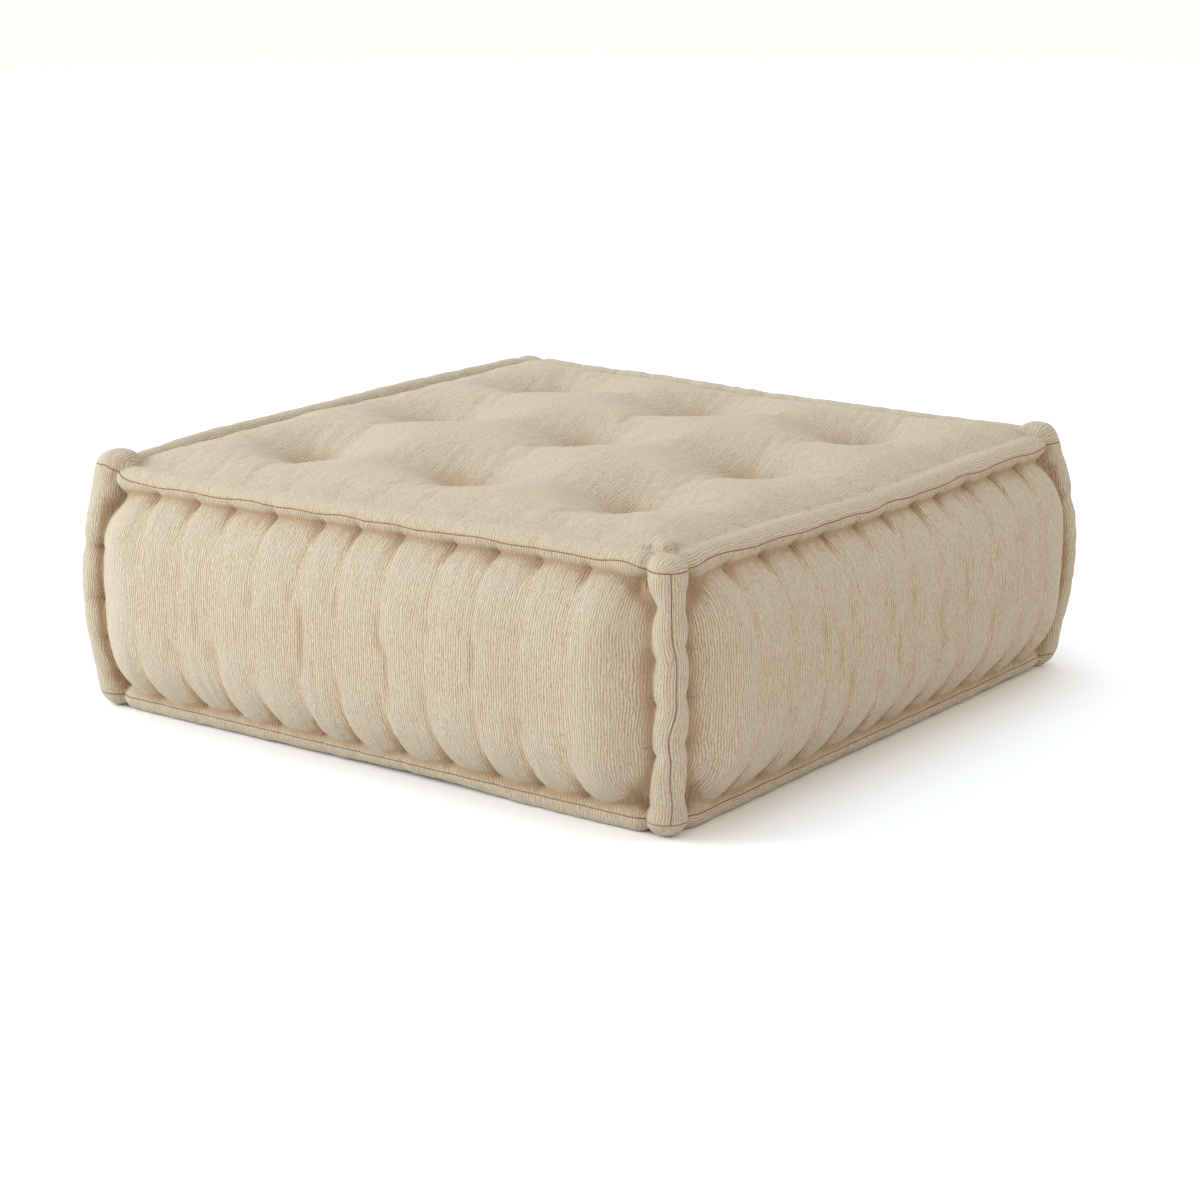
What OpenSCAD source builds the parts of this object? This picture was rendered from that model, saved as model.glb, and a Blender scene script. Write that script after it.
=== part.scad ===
// Square tufted floor cushion with stitched edge rolls.
// A six-panel cloth cover over a fibre core, layers of wadding and twelve roll fillings.
// Origin: bottom centre. +Z up, front panel towards -Y. Millimetres.

/* [Cushion] */
// Side to side, outside of the edge rolls
cushion_w = 900; // [600:10:1200]
// Front to back, outside of the edge rolls
cushion_d = 900; // [600:10:1200]
// Floor to the top of the edge rolls
cushion_h = 325; // [260:5:400]
// How far the middle of the top panel stands above the edge rolls
crown = 22; // [5:1:40]
// How far the middle of each side panel stands out past the edge rolls
bulge = 36; // [10:1:45]

/* [Cover] */
// Thickness of the crinkled cover cloth
cloth_t = 1.5; // [1:0.1:2.5]
// Outside diameter of an edge roll
roll_dia = 38; // [30:1:50]
// How far the corner rolls are pushed out, along each axis
corner_push = 8; // [0:1:12]

/* [Tufts] */
// Tufts along each side of the grid
tufts = 3; // [2:1:4]
// Distance between neighbouring tufts
tuft_pitch = 250; // [180:10:260]
// Depth of a top tuft's dimple
tuft_depth = 44; // [20:1:50]
// Radius of a top tuft's dimple
tuft_reach = 95; // [70:5:110]
// Depth of a base tuft's dimple
base_tuft_depth = 12; // [8:1:16]
// Radius of a base tuft's dimple
base_tuft_reach = 62; // [50:2:80]

/* [Stitching] */
// Diameter of the twine
twine_dia = 2.5; // [1.5:0.1:3]
// Distance between the stitches that hold a top or base roll
stitch_pitch = 70; // [50:5:100]
// Stitches that hold each corner roll
corner_stitch_rows = 4; // [2:1:6]
// Length of a stitch where it shows
stitch_len = 11; // [6:1:16]

/* [Filling] */
// Share of the height that the firm core takes up
core_share = 0.55; // [0.4:0.05:0.6]
// Play between neighbouring layers
layer_gap = 0.6; // [0.3:0.1:1]

/* [Hidden] */
$fn = 32;

CLOTH = "#cfc2ae";
FIBRE = "#eee7d8";
TWINE = "#b9a586";

TOP = 0;
BASE = 1;
FRONT = 2;
RIGHT = 3;
BACK = 4;
LEFT = 5;

roll_r = roll_dia / 2;
// The stitched groove behind a roll: its distance in from the edge plane, and its depth
groove_in = roll_r * (1 + sin(60));
groove_deep = roll_r * (1 - cos(60));
// Grid lines that follow the round of a roll, as distances in from the edge plane. The
// first one is the seam, which runs along the roll at 45 degrees
round_lines = [for (a = [-45, -22, 0, 30, 60]) roll_r * (1 + sin(a))];
// How far in from its groove a side panel or the base panel reaches its full height
side_rise = 170;
base_rise = 60;
// How far from a corner the push of its roll is felt
push_reach = 2 * roll_r;
corner_lift = 0.75 * corner_push;
filling_r = roll_r - cloth_t - 0.2;
// The flat cut behind each roll filling, which the stitches pass
filling_flat = 0.2 * roll_r;
pad_in = roll_dia + layer_gap;
side_pad_t = pad_in;
core_t = core_share * cushion_h;
core_z = (cushion_h - core_t) / 2;
grid_step = tuft_pitch / 6;
side_step = 28;
twine_r = twine_dia / 2;
needle_hole = twine_dia + 1.5;
knot_r = 1.4 * twine_dia;
// The straight roll fillings end where the corners' push begins to be felt
roll_end_in = groove_in + 0.8 * push_reach;
// A stitch lies in the groove against the round of its roll
stitch_up = roll_r - groove_deep + 1.2 * twine_r;
stitch_in = sqrt(pow(roll_r + twine_r + 0.1, 2) - pow(stitch_up, 2));
// Its leg runs behind the roll from groove to groove, just inside the cloth
leg_up = roll_r - groove_deep - cloth_t - twine_r - 0.3;
leg_in = groove_in - roll_r;

function clamp(x) = min(1, max(0, x));
function half_u(side) = (side == RIGHT || side == LEFT) ? cushion_d / 2 : cushion_w / 2;
function half_v(side) = (side == TOP || side == BASE) ? cushion_d / 2 : cushion_h / 2;

// Depth of a roll's round below its edge plane, at a distance in from the other edge plane
function round_drop(d) = roll_r - sqrt(max(0, pow(roll_r, 2) - pow(roll_r - d, 2)));
function rise(d, length) = sin(90 * clamp((d - groove_in) / length));
function rise_u(side, d) =
    rise(d, side == TOP ? half_u(side) - groove_in : side == BASE ? base_rise : side_rise);
function rise_v(side, d) =
    rise(d, side == BASE ? base_rise : half_v(side) - groove_in);
function puff(side) = side == TOP ? crown : side == BASE ? 0 : bulge;

function tuft_at(i) = (i - (tufts - 1) / 2) * tuft_pitch;
function hollow(r, reach) = r < reach ? (1 + cos(180 * r / reach)) / 2 : 0;
function tuft_sum(u, v, depth, reach) =
    depth * max([for (i = [0:tufts - 1], j = [0:tufts - 1])
        hollow(norm([u - tuft_at(i), v - tuft_at(j)]), reach)]);
function dimple(side, u, v) =
    side == TOP ? tuft_sum(u, v, tuft_depth, tuft_reach)
    : side == BASE ? tuft_sum(u, v, base_tuft_depth, base_tuft_reach) : 0;

// Height of the cover's outside over a panel's edge plane, at u across and v up the panel
function cover(side, u, v) =
    let (du = half_u(side) - abs(u), dv = half_v(side) - abs(v))
    -round_drop(min(du, dv, groove_in))
    + (groove_deep + puff(side)) * rise_u(side, du) * rise_v(side, dv)
    - dimple(side, u, v);

// A panel's own frame to the cushion's: u across, v up, n outwards
function place(side, u, v, n) =
    side == TOP ? [u, v, cushion_h + n]
    : side == BASE ? [u, -v, -n]
    : side == FRONT ? [u, -cushion_d / 2 - n, v + cushion_h / 2]
    : side == RIGHT ? [cushion_w / 2 + n, u, v + cushion_h / 2]
    : side == BACK ? [-u, cushion_d / 2 + n, v + cushion_h / 2]
    : [-cushion_w / 2 - n, -u, v + cushion_h / 2];

// Pushes a point near a vertical edge outwards, and near a top corner upwards
function near(distance) = pow(clamp(1 - max(0, distance - groove_in) / push_reach), 2);
function pushed(p) =
    let (f = near(cushion_w / 2 - abs(p.x)) * near(cushion_d / 2 - abs(p.y)))
    p + f * [
        sign(p.x) * corner_push,
        sign(p.y) * corner_push,
        corner_lift * near(cushion_h - p.z),
    ];

// Grid lines across a panel: its rolls' rounds at both ends and even steps between
function lines(half, step) =
    let (n = floor((half - groove_in - step / 4) / step))
    concat(
        [for (d = round_lines) d - half],
        [for (i = [-n:n]) i * step],
        [for (k = [len(round_lines) - 1:-1:0]) half - round_lines[k]]
    );
function lines_u(side) = lines(half_u(side), grid_step);
function lines_v(side) =
    lines(half_v(side), side == TOP || side == BASE ? grid_step : side_step);

// The inside of the cloth keeps the round of the roll, one cloth thickness in
function shrunk(x) = roll_r + (x - roll_r) * (1 - cloth_t / roll_r);
function inner_line(half, x) =
    let (d = half - abs(x))
    d < groove_in + 0.01 ? sign(x) * (half - shrunk(d)) : x;
function inner_cover(side, u, v) =
    let (n = cover(side, u, v), m = min(half_u(side) - abs(u), half_v(side) - abs(v)))
    m < groove_in + 0.01 ? -shrunk(-n) : n - cloth_t;

// Numbers of the grid points round the edge of a grid, in order
function rim(cols, rows) = concat(
    [for (i = [0:cols - 2]) i],
    [for (j = [0:rows - 2]) (j + 1) * cols - 1],
    [for (i = [cols - 1:-1:1]) (rows - 1) * cols + i],
    [for (j = [rows - 1:-1:1]) j * cols]
);

// Triangles of a grid of points, seen from outside; flip turns them over
function grid_faces(cols, rows, first, flip) = [
    for (j = [0:rows - 2], i = [0:cols - 2], half = [0, 1])
        let (a = first + j * cols + i, b = a + 1, c = b + cols, d = a + cols)
        flip ? (half == 0 ? [a, b, c] : [a, c, d]) : (half == 0 ? [a, c, b] : [a, d, c])
];

// Triangles that join two rims, the second one behind the first
function rim_faces(front, back) = [
    for (k = [0:len(front) - 1], half = [0, 1])
        let (m = (k + 1) % len(front))
        half == 0 ? [front[k], front[m], back[m]] : [front[k], back[m], back[k]]
];

// One cloth panel of the cover, from seam to seam
module panel(side) {
    us = lines_u(side);
    vs = lines_v(side);
    n = len(us) * len(vs);
    edge = rim(len(us), len(vs));
    outside = [for (v = vs, u = us) pushed(place(side, u, v, cover(side, u, v)))];
    inside = [for (v = vs, u = us) pushed(place(
        side,
        inner_line(half_u(side), u),
        inner_line(half_v(side), v),
        inner_cover(side, u, v)
    ))];
    polyhedron(
        concat(outside, inside),
        concat(
            grid_faces(len(us), len(vs), 0, false),
            grid_faces(len(us), len(vs), n, true),
            rim_faces(edge, [for (e = edge) e + n])
        )
    );
}

// Grid lines of a layer of wadding: the panel's own, where they clear the rolls
function pad_lines(half, step) =
    let (n = floor((half - groove_in - step / 4) / step))
    concat(
        [pad_in - half],
        [for (i = [-n:n]) if (abs(i * step) < half - pad_in - 1) i * step],
        [half - pad_in]
    );

// A layer of wadding right behind a panel, with a flat back at a depth from the edge plane
module wadding(side, depth) {
    us = pad_lines(half_u(side), grid_step);
    vs = pad_lines(half_v(side), side == TOP || side == BASE ? grid_step : side_step);
    n = len(us) * len(vs);
    edge = rim(len(us), len(vs));
    grid = [for (v = vs, u = us) [u, v]];
    front = [for (p = grid) place(side, p.x, p.y, cover(side, p.x, p.y) - cloth_t - layer_gap)];
    back = [for (e = edge) place(side, grid[e].x, grid[e].y, -depth)];
    behind = [for (k = [0:len(edge) - 1]) n + k];
    middle = n + len(edge);
    polyhedron(
        concat(front, back, [place(side, 0, 0, -depth)]),
        concat(
            grid_faces(len(us), len(vs), 0, false),
            rim_faces(edge, behind),
            [for (k = [0:len(edge) - 1]) [behind[k], behind[(k + 1) % len(edge)], middle]]
        )
    );
}

module at_tufts() {
    for (i = [0:tufts - 1], j = [0:tufts - 1])
        translate([tuft_at(i), tuft_at(j), 0])
            children();
}

module needle_holes() {
    translate([0, 0, -1])
        at_tufts()
            cylinder(h = 2 * cushion_h, d = needle_hole);
}

// The axis of a top or base roll: X along it, Y inwards, Z up or down out of the cushion.
// turn 0 is the front one, and up is false for the base
module at_edge(turn, up) {
    out = (turn % 2 == 0 ? cushion_d : cushion_w) / 2 - roll_r;
    rotate(90 * turn)
        translate([0, -out, up ? cushion_h - roll_r : roll_r])
            mirror([0, 0, up ? 0 : 1])
                children();
}

// The foot of a corner roll's axis: Z along it. turn 0 is the front right one
module at_corner(turn) {
    x = turn % 3 == 0 ? 1 : -1;
    y = turn < 2 ? -1 : 1;
    translate([
        x * (cushion_w / 2 - roll_r + corner_push),
        y * (cushion_d / 2 - roll_r + corner_push),
        roll_r,
    ])
        mirror([x < 0 ? 1 : 0, 0, 0])
            mirror([0, y > 0 ? 1 : 0, 0])
                children();
}

// ---- Cover ----

module top_panel() {
    color(CLOTH)
        difference() {
            panel(TOP);
            needle_holes();
        }
}

module base_panel() {
    color(CLOTH)
        difference() {
            panel(BASE);
            needle_holes();
        }
}

module front_panel() { color(CLOTH) panel(FRONT); }
module right_panel() { color(CLOTH) panel(RIGHT); }
module back_panel() { color(CLOTH) panel(BACK); }
module left_panel() { color(CLOTH) panel(LEFT); }

// ---- Roll fillings ----

// A bar along the roll, cut flat towards the inside of the cushion for the stitches
module edge_roll(turn, up) {
    across = turn % 2 == 0 ? cushion_w : cushion_d;
    color(FIBRE)
        at_edge(turn, up)
            rotate([90, 0, 90])
                linear_extrude(across - 2 * roll_end_in, center = true)
                    difference() {
                        circle(filling_r);
                        rotate(-45)
                            translate([filling_flat, -roll_r])
                                square(roll_dia);
                    }
}

// An upright bar with round ends, cut flat towards the inside of the cushion
module corner_roll(turn) {
    h = cushion_h - roll_dia + corner_lift;
    color(FIBRE)
        at_corner(turn)
            difference() {
                union() {
                    cylinder(h = h, r = filling_r);
                    sphere(filling_r);
                    translate([0, 0, h])
                        sphere(filling_r);
                }
                rotate(135)
                    translate([filling_flat, -roll_r, -roll_r])
                        cube([roll_dia, roll_dia, cushion_h + roll_dia]);
            }
}

module top_front_roll() { edge_roll(0, true); }
module top_right_roll() { edge_roll(1, true); }
module top_back_roll() { edge_roll(2, true); }
module top_left_roll() { edge_roll(3, true); }
module base_front_roll() { edge_roll(0, false); }
module base_right_roll() { edge_roll(1, false); }
module base_back_roll() { edge_roll(2, false); }
module base_left_roll() { edge_roll(3, false); }
module front_right_corner_roll() { corner_roll(0); }
module front_left_corner_roll() { corner_roll(1); }
module back_left_corner_roll() { corner_roll(2); }
module back_right_corner_roll() { corner_roll(3); }

// ---- Filling ----

// A firm block with rounded upright edges
module fibre_core() {
    w = cushion_w - 4 * roll_dia;
    d = cushion_d - 4 * roll_dia;
    corner = roll_dia;
    color(FIBRE)
        difference() {
            translate([0, 0, core_z])
                linear_extrude(core_t)
                    union() {
                        square([w - 2 * corner, d], center = true);
                        square([w, d - 2 * corner], center = true);
                        for (x = [-1, 1], y = [-1, 1])
                            translate([x * (w / 2 - corner), y * (d / 2 - corner)])
                                circle(corner);
                    }
            needle_holes();
        }
}

module top_wadding() {
    color(FIBRE)
        difference() {
            wadding(TOP, core_z - layer_gap);
            needle_holes();
        }
}

module base_wadding() {
    color(FIBRE)
        difference() {
            wadding(BASE, core_z - layer_gap);
            needle_holes();
        }
}

module front_wadding() { color(FIBRE) wadding(FRONT, side_pad_t); }
module right_wadding() { color(FIBRE) wadding(RIGHT, side_pad_t); }
module back_wadding() { color(FIBRE) wadding(BACK, side_pad_t); }
module left_wadding() { color(FIBRE) wadding(LEFT, side_pad_t); }

// ---- Twine ----

// One cord for each tuft, from its base knot to its top knot
module tuft_cords() {
    color(TWINE)
        for (i = [0:tufts - 1], j = [0:tufts - 1]) {
            bottom = -cover(BASE, tuft_at(i), tuft_at(j));
            top = cushion_h + cover(TOP, tuft_at(i), tuft_at(j));
            translate([tuft_at(i), tuft_at(j), bottom])
                cylinder(h = top - bottom, d = twine_dia);
        }
}

// A knot sits in the bottom of each dimple, on the end of its cord
module tuft_top_knots() {
    color(TWINE)
        for (i = [0:tufts - 1], j = [0:tufts - 1])
            translate([
                tuft_at(i),
                tuft_at(j),
                cushion_h + cover(TOP, tuft_at(i), tuft_at(j)) + 1.2 * knot_r,
            ])
                sphere(knot_r);
}

module tuft_base_knots() {
    color(TWINE)
        for (i = [0:tufts - 1], j = [0:tufts - 1])
            translate([
                tuft_at(i),
                tuft_at(j),
                -cover(BASE, tuft_at(i), tuft_at(j)) - 1.2 * knot_r,
            ])
                sphere(knot_r);
}

// The two short bars of a stitch that show, one in the groove on each side of a roll
module stitch_bars() {
    for (p = [[stitch_in, stitch_up], [-stitch_up, -stitch_in]])
        translate([0, p.x, p.y])
            rotate([0, 90, 0])
                cylinder(h = stitch_len, d = twine_dia, center = true);
}

// The leg of a stitch, from groove to groove behind the roll
module stitch_leg() {
    reach = (leg_in + leg_up) * sqrt(2);
    translate([0, (leg_in - leg_up) / 2, (leg_up - leg_in) / 2])
        rotate([-45, 0, 0])
            cylinder(h = reach, d = twine_dia, center = true);
}

module edge_stitches(up) {
    color(TWINE)
        for (turn = [0:3]) {
            across = turn % 2 == 0 ? cushion_w : cushion_d;
            n = floor((across / 2 - 2 * roll_dia) / stitch_pitch);
            for (i = [-n:n])
                at_edge(turn, up)
                    translate([i * stitch_pitch, 0, 0]) {
                        stitch_bars();
                        stitch_leg();
                    }
        }
}

module top_edge_stitches() { edge_stitches(true); }
module base_edge_stitches() { edge_stitches(false); }

module corner_stitches() {
    pitch = (cushion_h - 2 * roll_dia) / corner_stitch_rows;
    color(TWINE)
        for (turn = [0:3], i = [0:corner_stitch_rows - 1])
            at_corner(turn)
                translate([0, 0, roll_r + (i + 0.5) * pitch])
                    rotate([0, 90, 0]) {
                        stitch_bars();
                        stitch_leg();
                    }
}

top_panel();
base_panel();
front_panel();
right_panel();
back_panel();
left_panel();
top_front_roll();
top_right_roll();
top_back_roll();
top_left_roll();
base_front_roll();
base_right_roll();
base_back_roll();
base_left_roll();
front_right_corner_roll();
back_right_corner_roll();
back_left_corner_roll();
front_left_corner_roll();
fibre_core();
top_wadding();
base_wadding();
front_wadding();
right_wadding();
back_wadding();
left_wadding();
tuft_cords();
tuft_top_knots();
tuft_base_knots();
top_edge_stitches();
base_edge_stitches();
corner_stitches();
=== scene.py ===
"""Looks of the square tufted floor cushion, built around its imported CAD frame."""
import math
from collections import namedtuple

import bmesh
import bpy
import numpy as np
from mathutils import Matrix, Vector


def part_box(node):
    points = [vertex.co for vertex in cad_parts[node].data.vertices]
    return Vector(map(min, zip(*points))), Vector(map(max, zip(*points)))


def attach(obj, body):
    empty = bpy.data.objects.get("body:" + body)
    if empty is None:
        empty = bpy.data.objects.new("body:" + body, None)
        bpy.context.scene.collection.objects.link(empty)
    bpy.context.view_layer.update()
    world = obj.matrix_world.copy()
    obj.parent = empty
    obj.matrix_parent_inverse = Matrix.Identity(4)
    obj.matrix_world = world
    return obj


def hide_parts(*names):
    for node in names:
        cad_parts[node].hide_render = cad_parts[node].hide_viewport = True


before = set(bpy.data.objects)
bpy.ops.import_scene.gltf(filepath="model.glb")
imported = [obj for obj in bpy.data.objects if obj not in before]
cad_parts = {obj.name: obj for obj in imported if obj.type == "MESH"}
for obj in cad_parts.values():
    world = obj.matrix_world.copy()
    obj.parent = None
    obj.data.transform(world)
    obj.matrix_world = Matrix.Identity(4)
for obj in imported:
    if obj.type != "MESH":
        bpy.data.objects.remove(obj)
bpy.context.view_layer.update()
scene = bpy.context.scene
rng = np.random.default_rng(11)

# --- sizes, metres
ROLL = 0.019            # radius of an edge roll
SKIN = 0.0017           # cloth and play between a roll filling and the outside
GROOVE = ROLL * (1 + math.sin(math.radians(60)))
roll_lo, roll_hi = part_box("top_front_roll")
HALF = -roll_lo.y + SKIN
TOP = roll_hi.z + SKIN
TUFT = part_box("tuft_top_knots")[1].x - 0.0035
DIP_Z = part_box("tuft_top_knots")[0].z
BULGE = (-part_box("front_panel")[0].y - HALF) * 1.08
EAR_IN = 0.0265         # ear axis in from the edge planes
FOOT_R = 0.0255         # radius of a corner roll where it stands on the floor
FOOT_TALL = 0.07        # height over which that foot tapers into the roll
CROWN = 0.018           # how far the middle of the top would stand up without its tufts
FLOOR_GAP = 0.0004      # clear space between the cloth and the floor

EDGES = ("front", "right", "back", "left")
PANELS = EDGES + ("top", "base")


# --- helper maths
def lobes(at, power, span):
    """A table of round lobes with cusps at the stitches, from 0 at a stitch to about 1."""
    grid = np.arange(span[0], span[1], 0.001)
    ends = np.concatenate([[span[0] - 0.03], at, [span[1] + 0.03]])
    k = np.clip(np.searchsorted(ends, grid) - 1, 0, len(ends) - 2)
    t = np.clip((grid - ends[k]) / (ends[k + 1] - ends[k]), 0, 1) ** 0.8
    full = (4 * t * (1 - t)) ** power
    gain = 1 - 0.2 * rng.random(len(ends))
    return grid, full * gain[k]


def table(tab, x):
    """A table's value at any place, from the lines between its entries."""
    return np.interp(x, tab[0], tab[1])


def jitter(n, amount):
    """Random shifts either way, up to an amount."""
    return (rng.random(n) * 2 - 1) * amount


def smooth(x):
    """A soft step from 0 at 0 to 1 at 1."""
    x = np.clip(x, 0, 1)
    return x * x * (3 - 2 * x)


def bell(x, width, power=2):
    """A bell curve: 1 at 0, and 0.37 at its width."""
    return np.exp(-(x / width) ** power)


def unit(v):
    """Vectors made one long."""
    return v / np.maximum(np.linalg.norm(v, axis=-1, keepdims=True), 1e-9)


class Waves:
    """Smooth three-dimensional noise from a few random plane waves."""

    def __init__(self, length, count):
        self.k = unit(rng.normal(size=(count, 3))) * (2 * math.pi / length)
        self.k *= 0.6 + 0.8 * rng.random(count)[:, None]
        self.phase = rng.random(count) * 2 * math.pi
        self.gain = math.sqrt(2 / count)

    def __call__(self, x, y, z):
        out = np.zeros(np.broadcast(x, y, z).shape)
        for k, ph in zip(self.k, self.phase):
            out += np.sin(k[0] * x + k[1] * y + k[2] * z + ph)
        return out * self.gain


# places of the roll stitches along an edge, and their heights up a corner
STITCHES = np.linspace(-0.400, 0.400, 13)
RISERS = np.array([0.050, 0.107, 0.164, 0.221, 0.276])
CORNERS = ((1, -1), (1, 1), (-1, 1), (-1, -1))

# each ear: its lift over the edge, the seam's lift at its tip, its radius,
# the height over which it tapers into the corner roll, and how far that roll bows out
Ear = namedtuple("Ear", "lift seam_lift radius taper bow")
EARS = {
    (1, -1): Ear(-0.011, -0.005, 0.0250, 0.050, 0.016),
    (1, 1): Ear(0.004, 0.002, 0.0255, 0.080, 0.021),
    (-1, 1): Ear(-0.005, -0.004, 0.0245, 0.080, 0.016),
    (-1, -1): Ear(0.007, 0.018, 0.0285, 0.092, 0.016),
}
stitch_at = {}          # places of the stitches of each edge
sharp, broad = {}, {}   # round lobes between the stitches, and lobes with wider valleys
for level in ("top", "base"):
    for name in EDGES:
        at = STITCHES + jitter(len(STITCHES), 0.0065)
        at[0], at[-1] = STITCHES[0], STITCHES[-1]
        if level == "base":
            at = at * 0.5 + stitch_at[("top", name)] * 0.5
        stitch_at[(level, name)] = at
for key, at in stitch_at.items():
    sharp[key] = lobes(at, 0.5, (-0.5, 0.5))
    broad[key] = (sharp[key][0], sharp[key][1] ** 1.9)
for corner in CORNERS:
    for facing in ("x", "y"):
        shift = 0.006 if facing == "x" else -0.006
        at = RISERS + shift + jitter(len(RISERS), 0.008)
        sharp[(corner, facing)] = lobes(at, 0.55, (-0.1, 0.5))
lump = Waves(0.16, 14)
ripple = Waves(0.045, 18)
sway = Waves(0.40, 8)
wander = Waves(0.085, 10)


# --- tables of small folds
SPAN = 0.55             # half the width that a table covers
TABLE_CELL = 0.002
TABLE_AXIS = np.arange(int(2 * SPAN / TABLE_CELL)) * TABLE_CELL - SPAN
TABLE_U, TABLE_V = np.meshgrid(TABLE_AXIS, TABLE_AXIS)


class Sheet:
    """A table of heights over a panel, read at any place on it."""

    def __init__(self, data):
        self.data = data

    def __call__(self, u, v):
        d, last = self.data, len(self.data) - 2.001
        a = np.clip((u + SPAN) / TABLE_CELL, 0, last)
        b = np.clip((v + SPAN) / TABLE_CELL, 0, last)
        i, j = a.astype(int), b.astype(int)
        fa, fb = a - i, b - j
        return ((d[j, i] * (1 - fa) + d[j, i + 1] * fa) * (1 - fb)
                + (d[j + 1, i] * (1 - fa) + d[j + 1, i + 1] * fa) * fb)


def crumple(across, along):
    """Smooth noise, drawn out along one way."""
    raw = rng.normal(size=TABLE_U.shape)
    f = np.fft.fftfreq(len(raw), TABLE_CELL)
    shape_u = np.exp(-((f * across) ** 2) * 2)
    shape_v = np.exp(-((f * along) ** 2) * 2)
    band = 1 - np.exp(-((f * across) ** 2) * 8)
    out = np.fft.ifft2(np.fft.fft2(raw) * shape_v[:, None] * (shape_u * band)[None, :]).real
    return Sheet(out / out.std())


def fold_line(side, width):
    """Section across one small fold: a sharp crease with a soft ridge beside it."""
    return 0.55 * bell(side - 1.9 * width, 1.5 * width) - bell(side, width)


def dart_folds(rows, reach, deep):
    """The small folds that fan out from each stitch into a panel.

    A row holds the places of its stitches, the line they lie on and the way into the panel.
    """
    data = np.zeros(TABLE_U.shape)
    for stitches, line, inward in rows:
        for at in stitches:
            for lean in (-0.9, -0.3, 0.25, 0.8):
                off = lean + jitter(1, 0.3)[0]
                length = reach * (0.45 + 0.9 * rng.random())
                depth = deep * (0.4 + 0.8 * rng.random())
                d = (TABLE_V - line) * inward
                path = at + off * (0.005 + 0.19 * np.clip(d, 0, 0.12))
                path += 0.002 * np.sin(d * 45 + off * 9)
                fade = bell(np.clip(d, 0, 1), length, 1.7) * smooth(d / 0.006 + 0.2)
                data += depth * fade * fold_line(TABLE_U - path, 0.0034)
    return Sheet(data)


def ray_folds(count, reach, deep):
    """The small folds that run out from each tuft."""
    data = np.zeros(TABLE_U.shape)
    for tx, ty in TUFTS:
        r = np.hypot(TABLE_U - tx, TABLE_V - ty)
        a = np.arctan2(TABLE_V - ty, TABLE_U - tx)
        for k in range(count):
            turn = 2 * math.pi * (k + 0.7 * rng.random()) / count - math.pi
            length = reach * (0.5 + 0.8 * rng.random())
            depth = deep * (0.4 + 0.8 * rng.random())
            side = r * np.sin(a - turn + 1.5 * (r - 0.03))
            ahead = np.cos(a - turn) > 0
            fade = bell(r, length, 2.2) * smooth((r - 0.010) / 0.02) * ahead
            data += depth * fade * fold_line(side, 0.0036)
    return Sheet(data)


pleats = {name: crumple(0.010, 0.14) for name in EDGES + ("top",)}
creases = {name: crumple(0.0050, 0.11) for name in EDGES}
darts = {
    name: dart_folds([(stitch_at[("top", name)], TOP - GROOVE, -1),
                      (stitch_at[("base", name)], GROOVE, 1)], 0.070, 0.0010)
    for name in EDGES
}


def ear(x, y, part):
    """One number of the ear that a point is nearest to."""
    out = np.zeros(np.broadcast(x, y).shape)
    for (sx, sy), its in EARS.items():
        out = np.where((np.sign(x) == sx) & (np.sign(y) == sy), getattr(its, part), out)
    return out


def bow(z, most):
    """How far a corner roll bows out along each axis at a height."""
    t = np.clip(z / TOP, 0, 1)
    return most * np.sin(math.pi * t ** 0.98) ** 1.05


def corner_swell(z, taper):
    """How much of a corner roll is ear or foot at a height, from 0 to 1."""
    return np.clip(smooth(1 - (TOP - z) / taper) + smooth(1 - z / FOOT_TALL), 0, 1)


def corner_axis(z, swell, ear_in, most):
    """How far out the middle line of a corner roll lies along each axis."""
    return (HALF - ROLL) * (1 - swell) + (HALF - ear_in) * swell + bow(z, most)


def seam_lift(x, y):
    """Wander of the top seam, and its rise or fall at the tips of the ears."""
    d = np.maximum(HALF - EAR_IN - np.minimum(np.abs(x), np.abs(y)), 0)
    lift = ear(x, y, "seam_lift") * smooth(1 - d / 0.05)
    return lift + 0.0013 * wander(x, y, 0 * x) * smooth(d / 0.03)


def rounded(du, dv, inset, rho):
    """Distance inside a rounded rectangle that lies inset from the edges."""
    a, b = du - inset, dv - inset
    corner = rho - np.hypot(np.maximum(rho - a, 0), np.maximum(rho - b, 0))
    return np.where((a < rho) & (b < rho), corner, np.minimum(a, b))


def side_frame(name, x, y):
    """A side panel's own coordinates: along it and out of it."""
    return {"front": (x, -y), "back": (x, y), "right": (y, x), "left": (y, -x)}[name]


def lay(name, along, out, z):
    """Side panel coordinates back to the cushion's."""
    x, y = {"front": (along, -out), "back": (along, out),
            "right": (out, along), "left": (-out, along)}[name]
    return np.stack([x, y, z], -1)


def end_lobe(name, u, z):
    """The lobes of the corner roll at the end of a side panel that u is nearer to."""
    if name in ("front", "back"):
        sy = -1 if name == "front" else 1
        low, high = sharp[((-1, sy), "y")], sharp[((1, sy), "y")]
    else:
        sx = 1 if name == "right" else -1
        low, high = sharp[((sx, -1), "x")], sharp[((sx, 1), "x")]
    return np.where(u < 0, table(low, z), table(high, z))


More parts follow.
